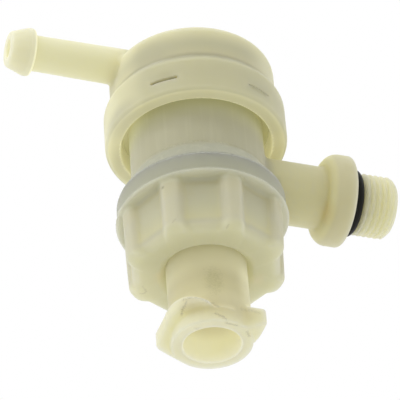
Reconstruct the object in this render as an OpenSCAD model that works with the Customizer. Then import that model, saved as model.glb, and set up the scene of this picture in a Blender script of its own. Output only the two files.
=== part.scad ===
// Anti-drip valve of a coffee machine.
// The inlet connector points down, the drain cap with its hose barb is on top,
// and the threaded outlet stub runs along +X.
// The origin is the centre of the inlet connector's end face. All sizes are in millimetres.

/* [Inlet connector] */
// Outside diameter of the connector's neck
neck_d = 12.1; // [11:0.1:13]
// Bore that slides over the boiler's outlet pin
socket_d = 8.6; // [7.5:0.1:9]
// Depth of that bore
socket_depth = 8; // [6:0.1:10]
// Length of neck that shows below the ring nut
neck_len = 13; // [11:0.1:16]
// Diameter of the water passage above the socket
passage_d = 4; // [3:0.1:5]
// Gap on each side between the flange and the ring nut's bore
flange_gap = 0.3; // [0.2:0.05:0.5]
// Thickness of that flange
flange_t = 2.4; // [1.8:0.1:3]
// Rounding of the end face's outer edge
tip_edge_r = 0.3; // [0.2:0.05:0.8]
// Height of the raised check valve seat above the flange
seat_rise = 0.8; // [0.5:0.1:1]
// Width of the seat's rim round the passage
seat_rim = 1.2; // [0.8:0.1:1.6]

/* [Bayonet ears] */
// Reach of each ear from the axis along X
ear_reach = 7.1; // [6.8:0.1:8]
// Distance from the axis to each ear's end face along Y
ear_end = 5; // [4:0.1:5.5]
// Where the ear's flat outer face runs into its tail, along Y
ear_flat_end = 0.9; // [0.5:0.1:2.5]
// Height above the neck's end at which the ear's sloping underside ends
ear_rise = 2.2; // [1.2:0.1:3]
// Thickness of the ears above that slope
ear_t = 2; // [1.5:0.1:3]
// How far the ear's tail stands proud of the neck
ear_tail_proud = 1; // [0.6:0.1:1.4]
// Angle that the tail wraps round the neck
ear_tail_turn = 76; // [45:1:85]
// Rounding of the ear's outer corner
ear_corner_r = 0.8; // [0.3:0.1:1.2]

/* [Ring nut] */
// Overall height of the nut
nut_h = 13; // [12:0.1:15]
// Thickness of the nut's wall at the plain band
nut_band_wall = 2.35; // [2.2:0.05:3.4]
// Height of that band
nut_band_h = 3.3; // [2.5:0.1:4]
// Height of the slope under the band
nut_slope_h = 1; // [0.5:0.1:1.5]
// Thickness of the nut's wall in the middle of a panel
nut_panel_wall = 1.15; // [1:0.05:1.6]
// Number of grip ribs
rib_count = 8; // [6:1:10]
// Width of a grip rib
rib_w = 2.6; // [2:0.1:3.2]
// How far the ribs stand out of the panels
rib_proud = 1.3; // [1:0.05:1.6]
// Angle of the first rib from the outlet stub
rib_turn = 2.7; // [-20:0.1:20]
// Thickness of the nut's floor
nut_floor = 2.4; // [2:0.1:3]
// Rounding of the nut's lower outer edge
nut_edge_r = 1.9; // [0.8:0.1:2.2]
// Width of the funnel round the neck
nut_funnel = 1.1; // [0.6:0.1:1.5]

/* [Valve body] */
// Outside diameter of the body tube
body_d = 20.5; // [20.3:0.1:21]
// Height of the flare at the tube's foot, which covers the nut's top
foot_flare_h = 3.9; // [1:0.1:4.5]
// How far the thread for the ring nut stands back from the body tube
thread_step = 0.35; // [0.25:0.05:0.6]
// Length of that thread
thread_len = 5.6; // [5:0.1:7]
// Length of body tube that shows between the nut and the cap
body_show = 11.4; // [11.3:0.1:14]
// Thickness of the threaded wall round the check valve chamber
chamber_wall = 3.3; // [2.4:0.1:3.8]
// Thickness of the wall between the two chambers
bulkhead_t = 2; // [1.5:0.1:3]
// Depth of the diaphragm chamber
well_depth = 7; // [6:0.1:8]
// Thickness of the wall round the diaphragm chamber
well_wall = 1.45; // [1.2:0.05:2]
// Diameter of the port between the two chambers
port_d = 4; // [3:0.1:5]
// Height of the collar that carries the snap teeth
collar_h = 4.7; // [4.6:0.1:5]
// Width of the collar's land above its seal ring groove
collar_land = 0.7; // [0.5:0.1:0.9]

/* [Outlet stub] */
// Height of the stub's axis above the ring nut
stub_rise = 5.2; // [5:0.1:6]
// Outside diameter of the stub tube
stub_d = 9.7; // [9:0.1:10]
// Bore of the stub
stub_bore_d = 4.4; // [3.6:0.1:5]
// Distance from the valve's axis to the back of the flange
stub_reach = 19.3; // [17:0.1:24]
// Diameter of the stub's flange
stub_flange_d = 14.2; // [13.6:0.1:17]
// Thickness of the flange
stub_flange_t = 3.95; // [3:0.05:5]
// Rounding of the flange's back edge
stub_back_r = 2; // [0.5:0.1:2.2]
// Rounding of the flange's front edge
stub_front_r = 0.4; // [0.3:0.1:1.6]
// Diameter of the G 1/8 pipe thread, over its crests
pipe_thread_d = 9.728; // [9.7:0.002:9.8]
// Length from the flange to the end of the thread
pipe_len = 7.5; // [6.5:0.05:10]
// Chamfer at the end of the thread
pipe_chamfer = 0.8; // [0.4:0.1:1]
// Diameter at the bottom of the groove that holds the seal ring, between the flange and the thread
ring_seat_d = 6.9; // [6.4:0.1:7.6]
// Thickness of the seal ring in that groove
stub_ring_t = 1.8; // [1.5:0.1:2]

/* [Drain cap] */
// Thickness of the cap's skirt
skirt_wall = 2.46; // [2:0.02:3.4]
// Height of the skirt
skirt_h = 7.5; // [7.4:0.1:9]
// Gap on each side between the body tube and the skirt
skirt_gap = 1.25; // [1.15:0.05:1.45]
// Rounding of the skirt's rim
rim_edge_r = 0.7; // [0.2:0.1:1]
// Rounding of the skirt's upper edge
skirt_edge_r = 1.8; // [0.4:0.1:2]
// Chamfer inside the skirt's rim
rim_chamfer = 0.1; // [0.1:0.1:0.8]
// How far the drum above the skirt stands back from it
drum_step = 1.21; // [0.8:0.01:1.4]
// Height of the whole cap
cap_h = 14.2; // [13:0.05:16]
// Rounding of the drum's top edge
drum_edge_r = 1.5; // [1:0.1:2.5]
// How much wider the space above the diaphragm is than the chamber below, on each side
dome_step = 0.7; // [0.4:0.1:1]
// Thickness of the cap's ceiling
ceiling_t = 2.4; // [1.6:0.05:2.4]
// Outside diameter of the drain seat under the ceiling
drain_seat_d = 4.8; // [4.4:0.1:5.4]
// Diameter of the drain hole
drain_d = 2.4; // [1.8:0.1:3]
// Length of the drain seat
drain_seat_len = 3.3; // [2.4:0.1:3.4]

/* [Snap windows] */
// Width of a window in the skirt
window_w = 4.3; // [3:0.1:6]
// Height of a window
window_h = 2; // [1.5:0.1:2.2]
// Height of the windows above the skirt's rim
window_rise = 2.6; // [2.4:0.1:3]
// Angle between the two windows of a pair
window_spread = 64.4; // [50:0.2:80]
// Angle of the front pair's middle from the outlet stub
window_turn = -95.8; // [-110:0.1:-80]
// How far a tooth stays below the skirt's outer face
tooth_sunk = 0.7; // [0.4:0.1:1.2]
// Room under a tooth in its window
tooth_play = 0.45; // [0.2:0.05:0.6]

/* [Hose barb] */
// Height of the barb's axis above the drum's top face, below it where negative
barb_rise = -0.2; // [-0.4:0.05:0.6]
// Diameter of the barb's tube next to its head
barb_d = 5.55; // [5:0.05:6.4]
// Diameter of the barb's tube at its root
barb_root_d = 5.8; // [5.6:0.1:6.8]
// Bore of the barb
barb_bore_d = 3; // [2:0.1:3.4]
// Distance from the valve's axis to the barb's end
barb_reach = 29.5; // [26:0.1:36]
// Diameter of the barb's head
head_d = 7.4; // [7:0.1:8.6]
// Length of the barb's head
head_len = 3.8; // [3:0.1:5.5]
// Length of the head's plain part
head_land = 0.9; // [0.5:0.1:1.5]
// Diameter of the head at the barb's end
head_tip_d = 5.6; // [5:0.1:6]

/* [Seals] */
// Thickness of the flat seal above the inlet connector
face_seal_t = 1.5; // [1:0.1:2]
// Thickness of the cap's seal ring
cap_ring_t = 1.38; // [1.2:0.02:1.6]
// Thickness of the diaphragm's clamped rim
rim_seal_t = 1; // [0.8:0.1:1.2]
// Thickness of the diaphragm's web
web_t = 0.6; // [0.4:0.1:0.8]

/* [Check valve] */
// How far the poppet's disc reaches past the seat's rim
poppet_margin = 1.4; // [1.1:0.1:1.5]
// Thickness of the disc
poppet_t = 1.5; // [1.2:0.1:2]
// Height of the poppet's three guide fins
fin_h = 4; // [3:0.1:5]
// Width of a guide fin
fin_w = 1.6; // [1.2:0.1:2]
// Diameter of the poppet's spring pilot
pilot_d = 4.4; // [3.6:0.1:4.8]
// Height of the spring pilot
pilot_h = 2.5; // [2:0.1:4]
// How far the poppet's rubber disc reaches past the seat's rim
poppet_seal_margin = 0.5; // [0.3:0.1:0.7]
// Thickness of the rubber disc
poppet_seal_t = 1.2; // [1:0.1:1.5]

/* [Drain valve] */
// Room on each side between the diaphragm plate and its chamber
plate_room = 2.3; // [2.1:0.1:2.6]
// Thickness of the plate
plate_t = 1.6; // [1.4:0.1:2]
// Distance from the plate's lower face down to the chamber's floor
plate_rise = 4.2; // [3.6:0.1:4.4]
// Diameter of the pad that closes the drain
pad_d = 6; // [5.6:0.1:6.4]
// Thickness of the pad
pad_t = 1; // [0.8:0.1:1.2]
// Number of bleed holes in the plate
bleed_count = 3; // [2:1:4]
// Diameter of a bleed hole
bleed_d = 0.8; // [0.6:0.1:1]

/* [Springs] */
// Wire of the check valve's spring
check_wire = 0.6; // [0.4:0.05:0.8]
// Room between the poppet's spring pilot and the middle of the check valve's spring wire
check_coil_room = 1.1; // [0.8:0.1:1.3]
// Turns of the check valve's spring
check_turns = 8; // [5:1:9]
// Wire of the drain valve's spring
drain_wire = 0.5; // [0.3:0.05:0.6]
// Room between the drain seat and the middle of the drain valve's spring wire
drain_coil_room = 1.8; // [1.6:0.1:2]
// Turns of the drain valve's spring
drain_turns = 4; // [3:1:5]

/* [Clearances] */
// Gap on each side between a thread and its nut
thread_gap = 0.1; // [0.05:0.01:0.2]
// Gap on each side between plastic pieces that slip together
slip_gap = 0.15; // [0.1:0.05:0.3]
// Gap round the neck in the ring nut's floor
neck_gap = 0.3; // [0.2:0.05:0.5]
// Running gap on each side between the poppet's fins and their bore
fin_gap = 0.08; // [0.05:0.01:0.1]
// Gap between a seal and the wall that it closes
seal_gap = 0.02; // [0.01:0.01:0.1]
// Gap between a spring's end turn and its seat
spring_gap = 0.1; // [0.05:0.05:0.3]

/* [Hidden] */
$fn = 96;
// Extra length that makes a cut pass cleanly through a face
over = 1;

// Levels above the inlet connector's end face, from the bottom up
nut_z = neck_len;
nut_top = nut_z + nut_h;
flange_z = nut_z + nut_floor;
face_seal_z = flange_z + flange_t;
seat_z = face_seal_z + seat_rise;
body_z = face_seal_z + face_seal_t;
shoulder_z = body_z + thread_len;
stub_z = nut_top + stub_rise;
skirt_z = nut_top + body_show;
window_z = skirt_z + window_rise;
tooth_z = window_z + tooth_play;
drum_z = skirt_z + skirt_h;
drum_top = skirt_z + cap_h;
ceiling_z = drum_top - ceiling_t;
barb_z = drum_top + barb_rise;
// The collar starts just under the teeth and ends at the clamped diaphragm
collar_z = tooth_z - slip_gap;
body_top = collar_z + collar_h;
dome_z = body_top + rim_seal_t;
well_z = body_top - well_depth;
bulkhead_z = well_z - bulkhead_t;

// Poppet and plate levels
poppet_seal_z = seat_z + seal_gap;
poppet_z = poppet_seal_z + poppet_seal_t;
pilot_z = poppet_z + poppet_t;
plate_z = well_z + plate_rise;
plate_top = plate_z + plate_t;
pad_z = plate_top - pad_t / 2;
drain_seat_z = ceiling_z - drain_seat_len;

// Fits
thread_d = body_d - 2 * thread_step;
chamber_d = thread_d - 2 * chamber_wall;
well_d = body_d - 2 * well_wall;
dome_d = well_d + 2 * dome_step;
nut_bore_d = thread_d + 2 * thread_gap;
nut_mouth_d = body_d + 2 * slip_gap;
nut_hole_d = neck_d + 2 * neck_gap;
nut_band_d = nut_mouth_d + 2 * nut_band_wall;
nut_flats = nut_bore_d + 2 * nut_panel_wall;
rib_d = nut_flats + 2 * rib_proud;
flange_d = nut_bore_d - 2 * flange_gap;
nut_corner_d = nut_flats / cos(180 / rib_count);
skirt_bore_d = body_d + 2 * skirt_gap;
skirt_d = skirt_bore_d + 2 * skirt_wall;
drum_d = skirt_d - 2 * drum_step;
collar_d = skirt_bore_d - 2 * slip_gap;
cap_ring_in = skirt_bore_d - 2 * cap_ring_t - 2 * seal_gap;
ring_groove_d = cap_ring_in - 2 * seal_gap;
ring_groove_h = cap_ring_t + 2 * slip_gap;
ring_groove_z = body_top - collar_land - ring_groove_h;
seat_d = passage_d + 2 * seat_rim;
poppet_d = seat_d + 2 * poppet_margin;
poppet_seal_d = seat_d + 2 * poppet_seal_margin;
check_coil_d = pilot_d + 2 * check_coil_room;
plate_d = well_d - 2 * plate_room;
drain_coil_d = drain_seat_d + 2 * drain_coil_room;
rim_out_d = collar_d - slip_gap;
web_out_d = well_d - 2 * slip_gap;

// Outlet stub positions along X
stub_face_x = stub_reach + stub_flange_t;
stub_end_x = stub_face_x + pipe_len;
stub_groove_w = stub_ring_t + 4 * seal_gap;
pipe_x = stub_face_x + stub_groove_w;

// Barb positions along its own axis, from the valve's axis
barb_shoulder = barb_reach - head_len;

// Puts the children, built along +Z, on a horizontal axis at height z that points along the angle turn
module lying(z, turn) {
    translate([0, 0, z])
        rotate([0, 90, turn])
            children();
}

// A square with both outer corners rounded, for turning into a flange
module round_rim(r, h, low_r, high_r) {
    difference() {
        square([r, h]);
        translate([r - low_r, -over])
            square([low_r + over, low_r + over]);
        translate([r - high_r, h - high_r])
            square([high_r + over, high_r + over]);
    }
    translate([r - low_r, low_r])
        intersection() {
            circle(low_r);
            translate([0, -low_r])
                square(low_r);
        }
    translate([r - high_r, h - high_r])
        intersection() {
            circle(high_r);
            square(high_r);
        }
}

// A coil spring that stands on the plane z = 0, as a chain of closed rings joined by a helical wire
module coil(coil_d, wire, turns, height) {
    steps = 12;
    rise = (height - wire) / turns;
    sides = 6;
    points = [for (i = [0:turns * steps])
                  for (j = [0:sides - 1])
                      let (turn = 360 * i / steps,
                           part = 360 * j / sides,
                           r = coil_d / 2 + wire / 2 * cos(part))
                          [r * cos(turn), r * sin(turn), wire / 2 + rise * i / steps + wire / 2 * sin(part)]];
    rings = turns * steps + 1;
    walls = [for (i = [0:rings - 2])
                 for (j = [0:sides - 1])
                     let (next = (j + 1) % sides)
                         [i * sides + j, (i + 1) * sides + j, (i + 1) * sides + next, i * sides + next]];
    first = [for (j = [0:sides - 1]) j];
    last = [for (j = [0:sides - 1]) rings * sides - 1 - j];
    polyhedron(points = points, faces = concat(walls, [first, last]), convexity = 10);
}

// Outline of one bayonet ear: a flat outer face, a square end and a tail that wraps round the neck
module ear_outline() {
    tail_r = neck_d / 2 + ear_tail_proud;
    far = 2 * tail_r;
    translate([0, ear_corner_r - ear_end])
        square([ear_reach, ear_flat_end + ear_end - ear_corner_r]);
    translate([0, -ear_end])
        square([ear_reach - ear_corner_r, ear_end]);
    translate([ear_reach - ear_corner_r, ear_corner_r - ear_end])
        circle(ear_corner_r);
    intersection() {
        circle(tail_r);
        polygon([[0, 0], [far, 0], [far, far], [far * cos(ear_tail_turn), far * sin(ear_tail_turn)]]);
    }
}

// One bayonet ear: a flat ledge on top and an underside that slopes down to the neck's end
module bayonet_ear() {
    corner_d = 2 * norm([ear_reach, ear_end]);
    slope_h = ear_rise - tip_edge_r;
    intersection() {
        translate([0, 0, tip_edge_r])
            linear_extrude(slope_h + ear_t)
                ear_outline();
        union() {
            translate([0, 0, tip_edge_r])
                cylinder(h = slope_h, d1 = neck_d, d2 = corner_d);
            translate([0, 0, ear_rise])
                cylinder(h = ear_t, d = corner_d);
        }
    }
}

// Inlet connector: neck with a socket for the boiler pin, two bayonet ears and a flange
module inlet_connector() {
    color("ivory")
        difference() {
            union() {
                rotate_extrude()
                    round_rim(neck_d / 2, flange_z + flange_t / 2, tip_edge_r, tip_edge_r);
                translate([0, 0, flange_z])
                    cylinder(h = flange_t, d = flange_d);
                cylinder(h = seat_z, d = seat_d);
                bayonet_ear();
                rotate([0, 0, 180])
                    bayonet_ear();
            }
            translate([0, 0, -over])
                cylinder(h = socket_depth + over, d = socket_d);
            translate([0, 0, socket_depth - over])
                cylinder(h = seat_z, d = passage_d);
        }
}

// Ring nut: holds the connector's flange against the body, with flat panels between its grip ribs
module ring_nut() {
    ribs_top = nut_h - nut_band_h;
    color("ivory")
        difference() {
            translate([0, 0, nut_z]) {
                translate([0, 0, ribs_top])
                    cylinder(h = nut_band_h, d = nut_band_d);
                translate([0, 0, ribs_top - nut_slope_h])
                    cylinder(h = nut_slope_h, d1 = nut_flats, d2 = nut_band_d);
                intersection() {
                    union() {
                        rotate([0, 0, rib_turn])
                            cylinder(h = ribs_top, d = nut_corner_d, $fn = rib_count);
                        for (i = [0:rib_count - 1])
                            rotate([0, 0, rib_turn + i * 360 / rib_count])
                                translate([0, -rib_w / 2, 0])
                                    cube([rib_d / 2, rib_w, ribs_top]);
                    }
                    rotate_extrude()
                        round_rim(rib_d / 2, ribs_top + nut_edge_r, nut_edge_r, nut_edge_r);
                }
            }
            translate([0, 0, nut_z - over])
                cylinder(h = nut_h, d = nut_hole_d);
            translate([0, 0, nut_z])
                cylinder(h = nut_funnel, d1 = nut_hole_d + 2 * nut_funnel, d2 = nut_hole_d);
            translate([0, 0, flange_z])
                cylinder(h = nut_h, d = nut_bore_d);
            translate([0, 0, shoulder_z - slip_gap])
                cylinder(h = nut_h, d = nut_mouth_d);
        }
}

// Flat rubber seal between the connector's flange and the body
module face_seal() {
    color("dimgray")
        translate([0, 0, face_seal_z])
            difference() {
                cylinder(h = face_seal_t, d = thread_d - 2 * thread_gap);
                translate([0, 0, -over])
                    cylinder(h = face_seal_t + 2 * over, d = chamber_d);
            }
}

// The stub's outer form: tube, rounded flange, seal ring groove and pipe thread over its crests
module stub_outside() {
    lying(stub_z, 0) {
        cylinder(h = stub_reach + stub_flange_t / 2, d = stub_d);
        translate([0, 0, stub_reach])
            rotate_extrude()
                round_rim(stub_flange_d / 2, stub_flange_t, stub_back_r, stub_front_r);
        cylinder(h = stub_end_x - pipe_chamfer, d = ring_seat_d);
        translate([0, 0, pipe_x])
            cylinder(h = stub_end_x - pipe_chamfer - pipe_x, d = pipe_thread_d);
        translate([0, 0, stub_end_x - pipe_chamfer])
            cylinder(h = pipe_chamfer, d1 = pipe_thread_d, d2 = pipe_thread_d - 2 * pipe_chamfer);
    }
}

// Snap teeth that stand out of the collar into the skirt's windows
module snap_teeth() {
    tooth_h = window_h - tooth_play - slip_gap;
    tooth_r = skirt_d / 2 - tooth_sunk;
    for (pair = [0, 180], side = [-1, 1])
        rotate([0, 0, window_turn + pair + side * window_spread / 2])
            intersection() {
                translate([well_d / 2 + over, slip_gap - window_w / 2, tooth_z])
                    cube([tooth_r, window_w - 2 * slip_gap, tooth_h]);
                cylinder(h = 2 * tooth_z, r = tooth_r);
            }
}

// Valve body: check valve chamber below, diaphragm chamber above, outlet stub at the side
module valve_body() {
    color("ivory")
        difference() {
            union() {
                translate([0, 0, body_z])
                    cylinder(h = collar_z - body_z, d = thread_d);
                translate([0, 0, shoulder_z])
                    cylinder(h = collar_z + over - shoulder_z, d = body_d);
                translate([0, 0, nut_top + seal_gap])
                    cylinder(h = foot_flare_h, d1 = nut_band_d, d2 = body_d);
                translate([0, 0, collar_z])
                    cylinder(h = collar_h, d = collar_d);
                stub_outside();
                snap_teeth();
            }
            translate([0, 0, body_z - over])
                cylinder(h = bulkhead_z - body_z + over, d = chamber_d);
            translate([0, 0, bulkhead_z - over])
                cylinder(h = bulkhead_t + 2 * over, d = port_d);
            translate([0, 0, well_z])
                cylinder(h = well_depth + over, d = well_d);
            translate([0, 0, ring_groove_z])
                difference() {
                    cylinder(h = ring_groove_h, d = collar_d + over);
                    translate([0, 0, -over])
                        cylinder(h = ring_groove_h + 2 * over, d = ring_groove_d);
                }
            lying(stub_z, 0)
                cylinder(h = stub_end_x + over, d = stub_bore_d);
        }
}

// Black seal ring against the stub's flange
module stub_seal_ring() {
    ring_r = stub_ring_t / 2;
    color([0.08, 0.08, 0.08])
        lying(stub_z, 0)
            translate([0, 0, stub_face_x + ring_r + seal_gap])
                rotate_extrude()
                    translate([ring_seat_d / 2 + ring_r + seal_gap, 0])
                        circle(ring_r);
}

// Check poppet: disc with three guide fins and a pilot for its spring
module check_poppet() {
    fin_r = chamber_d / 2 - fin_gap;
    color("whitesmoke")
        difference() {
            union() {
                translate([0, 0, poppet_z])
                    cylinder(h = poppet_t, d = poppet_d);
                translate([0, 0, poppet_z])
                    cylinder(h = poppet_t + pilot_h, d = pilot_d);
                intersection() {
                    for (i = [0:2])
                        rotate([0, 0, 60 + i * 120])
                            translate([poppet_d / 2 - fin_w / 2, -fin_w / 2, poppet_z])
                                cube([fin_r, fin_w, fin_h]);
                    translate([0, 0, poppet_z])
                        cylinder(h = fin_h, r = fin_r);
                }
            }
            translate([0, 0, poppet_z + poppet_t])
                cylinder(h = pilot_h + over, d = pilot_d / 2);
        }
}

// Rubber disc under the poppet that closes the seat
module poppet_seal() {
    color("dimgray")
        translate([0, 0, poppet_seal_z])
            cylinder(h = poppet_seal_t, d = poppet_seal_d);
}

// Spring that presses the poppet on its seat
module check_spring() {
    color("silver")
        translate([0, 0, pilot_z + spring_gap])
            coil(check_coil_d, check_wire, check_turns, bulkhead_z - pilot_z - 2 * spring_gap);
}

// Diaphragm: a clamped rim, a rolled web and an inner bead round the plate
module diaphragm() {
    bead_r = plate_d / 2 + seal_gap;
    web_out_r = web_out_d / 2;
    roll_r = (web_out_r - bead_r) / 2;
    color("indianred")
        rotate_extrude() {
            translate([web_out_r - web_t, body_top])
                square([rim_out_d / 2 - web_out_r + web_t, rim_seal_t]);
            translate([web_out_r - web_t, plate_z])
                square([web_t, body_top - plate_z + rim_seal_t]);
            translate([bead_r, plate_z])
                square([web_t, plate_t]);
            intersection() {
                translate([bead_r + roll_r, plate_z])
                    difference() {
                        circle(roll_r);
                        circle(roll_r - web_t);
                    }
                translate([0, plate_z - plate_rise])
                    square([web_out_r, plate_rise]);
            }
        }
}

// Diaphragm plate: carries the drain pad, with bleed holes outside the spring
module diaphragm_plate() {
    bleed_r = (drain_coil_d + drain_wire) / 4 + plate_d / 4;
    color("whitesmoke")
        difference() {
            translate([0, 0, plate_z])
                cylinder(h = plate_t, d = plate_d);
            translate([0, 0, pad_z])
                cylinder(h = plate_t, d = pad_d + 2 * seal_gap);
            for (i = [0:bleed_count - 1])
                rotate([0, 0, i * 360 / bleed_count])
                    translate([bleed_r, 0, plate_z - over])
                        cylinder(h = plate_t + 2 * over, d = bleed_d);
        }
}

// Rubber pad that closes the drain seat
module drain_pad() {
    color("dimgray")
        translate([0, 0, pad_z])
            cylinder(h = pad_t, d = pad_d);
}

// Spring that holds the drain open while there is no pressure
module drain_spring() {
    color("silver")
        translate([0, 0, plate_top + spring_gap])
            coil(drain_coil_d, drain_wire, drain_turns, ceiling_z - plate_top - 2 * spring_gap);
}

// Seal ring in the collar's groove
module cap_seal_ring() {
    color([0.08, 0.08, 0.08])
        translate([0, 0, ring_groove_z + ring_groove_h / 2])
            rotate_extrude()
                translate([(cap_ring_in + cap_ring_t) / 2, 0])
                    circle(cap_ring_t / 2);
}

// The barb's outer form, from the valve's axis to its end
module barb_outside() {
    lying(barb_z, 180) {
        cylinder(h = barb_shoulder + over / 2, d1 = barb_root_d, d2 = barb_d);
        translate([0, 0, barb_shoulder])
            cylinder(h = head_land, d = head_d);
        translate([0, 0, barb_shoulder + head_land])
            cylinder(h = head_len - head_land, d1 = head_d, d2 = head_tip_d);
    }
    translate([0, 0, barb_z])
        sphere(d = barb_root_d);
}

// Drain cap: skirt with snap windows, drum, hose barb and drain seat in one moulding
module drain_cap() {
    color("ivory")
        difference() {
            union() {
                translate([0, 0, skirt_z])
                    rotate_extrude()
                        round_rim(skirt_d / 2, skirt_h, rim_edge_r, skirt_edge_r);
                translate([0, 0, drum_z - 2 * drum_edge_r])
                    rotate_extrude()
                        round_rim(drum_d / 2, drum_top - drum_z + 2 * drum_edge_r, drum_edge_r, drum_edge_r);
                barb_outside();
            }
            translate([0, 0, skirt_z - over])
                cylinder(h = dome_z - skirt_z + over, d = skirt_bore_d);
            translate([0, 0, skirt_z - over])
                cylinder(h = over + rim_chamfer, d1 = skirt_bore_d + 2 * (rim_chamfer + over), d2 = skirt_bore_d);
            difference() {
                translate([0, 0, dome_z - over])
                    cylinder(h = ceiling_z - dome_z + over, d = dome_d);
                translate([0, 0, drain_seat_z])
                    cylinder(h = drain_seat_len + over, d = drain_seat_d);
            }
            translate([0, 0, drain_seat_z - over])
                cylinder(h = barb_z - drain_seat_z + over, d = drain_d);
            lying(barb_z, 180)
                translate([0, 0, -drain_d / 2])
                    cylinder(h = barb_reach + drain_d / 2 + over, d = barb_bore_d);
            for (pair = [0, 180], side = [-1, 1])
                rotate([0, 0, window_turn + pair + side * window_spread / 2])
                    translate([collar_d / 2, -window_w / 2, window_z])
                        cube([skirt_d / 2, window_w, window_h]);
        }
}

inlet_connector();
ring_nut();
face_seal();
valve_body();
stub_seal_ring();
check_poppet();
poppet_seal();
check_spring();
diaphragm();
diaphragm_plate();
drain_pad();
drain_spring();
cap_seal_ring();
drain_cap();
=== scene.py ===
# Anti-drip valve of a coffee machine, seen from below its ring nut.
# The origin is the centre of the inlet connector's end face. +Z goes up to the drain cap, +X out along the threaded stub.
import math

import bpy
import numpy as np
from mathutils import Matrix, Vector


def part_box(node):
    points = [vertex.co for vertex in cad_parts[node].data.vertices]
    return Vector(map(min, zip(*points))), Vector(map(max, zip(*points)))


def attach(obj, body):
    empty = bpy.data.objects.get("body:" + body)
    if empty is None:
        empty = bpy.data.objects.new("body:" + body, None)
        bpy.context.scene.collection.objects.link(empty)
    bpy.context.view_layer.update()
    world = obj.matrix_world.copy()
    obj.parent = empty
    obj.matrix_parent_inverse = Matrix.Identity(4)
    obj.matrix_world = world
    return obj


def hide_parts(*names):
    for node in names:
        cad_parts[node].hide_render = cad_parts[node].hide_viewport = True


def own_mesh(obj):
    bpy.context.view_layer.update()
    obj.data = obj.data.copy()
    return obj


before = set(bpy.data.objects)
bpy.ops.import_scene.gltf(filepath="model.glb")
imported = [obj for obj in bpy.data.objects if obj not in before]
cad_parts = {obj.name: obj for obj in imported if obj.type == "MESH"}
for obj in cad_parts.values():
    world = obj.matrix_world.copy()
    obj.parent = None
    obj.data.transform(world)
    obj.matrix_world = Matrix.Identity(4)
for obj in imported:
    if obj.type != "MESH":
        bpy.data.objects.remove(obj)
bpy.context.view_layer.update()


# Camera: below the valve, looking up past the ring nut, with the stub to the right
# The pale floor touches the connector's end face. It shows from above only, so that it doesn't hide the valve from below.
tilt = math.radians(-38.851)
turn = math.radians(-20.797)
roll = math.radians(-4.584)
back = np.array([math.sin(turn) * math.cos(tilt), -math.cos(turn) * math.cos(tilt), math.sin(tilt)])
across = np.cross(-back, [0.0, 0.0, 1.0])
across /= np.linalg.norm(across)
upward = np.cross(across, -back)
side = math.cos(roll) * across + math.sin(roll) * upward
top = -math.sin(roll) * across + math.cos(roll) * upward
rows = np.array([side, top, back])
stand = rows.T @ np.array([0.53, -7.895, 496.1]) + np.array([0.0, 0.0, 37.4])
camera_data = bpy.data.cameras.new("camera")
camera_data.sensor_width = 36.0
camera_data.lens = 36.0 * 6.55 * 496.1 / 400.0
camera_data.clip_start = 0.01
camera_data.clip_end = 10.0
camera = bpy.data.objects.new("camera", camera_data)
bpy.context.scene.collection.objects.link(camera)
matrix = np.eye(4)
matrix[:3, :3] = rows.T
matrix[:3, 3] = stand / 1000
camera.matrix_world = Matrix(matrix.tolist())
bpy.context.scene.camera = camera
bpy.context.scene.view_settings.view_transform = "Standard"

world = bpy.data.worlds.new("studio")
bpy.context.scene.world = world
world.use_nodes = True
air = world.node_tree.nodes
air.clear()
soft = air.new("ShaderNodeBackground")
soft.inputs["Strength"].default_value = 1.0
way = air.new("ShaderNodeTexCoord")
near_side = air.new("ShaderNodeVectorMath")
near_side.operation = "DOT_PRODUCT"
near_side.inputs[1].default_value = (-0.28, -0.78, -0.56)
fall = air.new("ShaderNodeMapRange")
fall.inputs["From Min"].default_value = -1.0
fall.inputs["From Max"].default_value = 1.0
dim = air.new("ShaderNodeValToRGB")
dim.color_ramp.elements[0].position = 0.0
dim.color_ramp.elements[0].color = (0.88, 0.89, 0.90, 1.0)
dim.color_ramp.elements[1].position = 1.0
dim.color_ramp.elements[1].color = (0.46, 0.46, 0.46, 1.0)
side_tone = dim.color_ramp.elements.new(0.6)
side_tone.color = (0.84, 0.84, 0.84, 1.0)
world.node_tree.links.new(way.outputs["Generated"], near_side.inputs[0])
world.node_tree.links.new(near_side.outputs["Value"], fall.inputs["Value"])
world.node_tree.links.new(fall.outputs["Result"], dim.inputs["Fac"])
world.node_tree.links.new(dim.outputs["Color"], soft.inputs["Color"])
white = air.new("ShaderNodeBackground")
white.inputs["Color"].default_value = (1.0, 1.0, 1.0, 1.0)
white.inputs["Strength"].default_value = 1.0
seen = air.new("ShaderNodeLightPath")
choose = air.new("ShaderNodeMixShader")
sky = air.new("ShaderNodeOutputWorld")
straight = air.new("ShaderNodeMath")
straight.operation = "MAXIMUM"
shown = air.new("ShaderNodeMath")
shown.operation = "MAXIMUM"
world.node_tree.links.new(seen.outputs["Is Glossy Ray"], straight.inputs[0])
world.node_tree.links.new(seen.outputs["Is Transmission Ray"], straight.inputs[1])
world.node_tree.links.new(seen.outputs["Is Camera Ray"], shown.inputs[0])
world.node_tree.links.new(straight.outputs[0], shown.inputs[1])
world.node_tree.links.new(shown.outputs[0], choose.inputs["Fac"])
world.node_tree.links.new(soft.outputs[0], choose.inputs[1])
world.node_tree.links.new(white.outputs[0], choose.inputs[2])
world.node_tree.links.new(choose.outputs[0], sky.inputs["Surface"])


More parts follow.
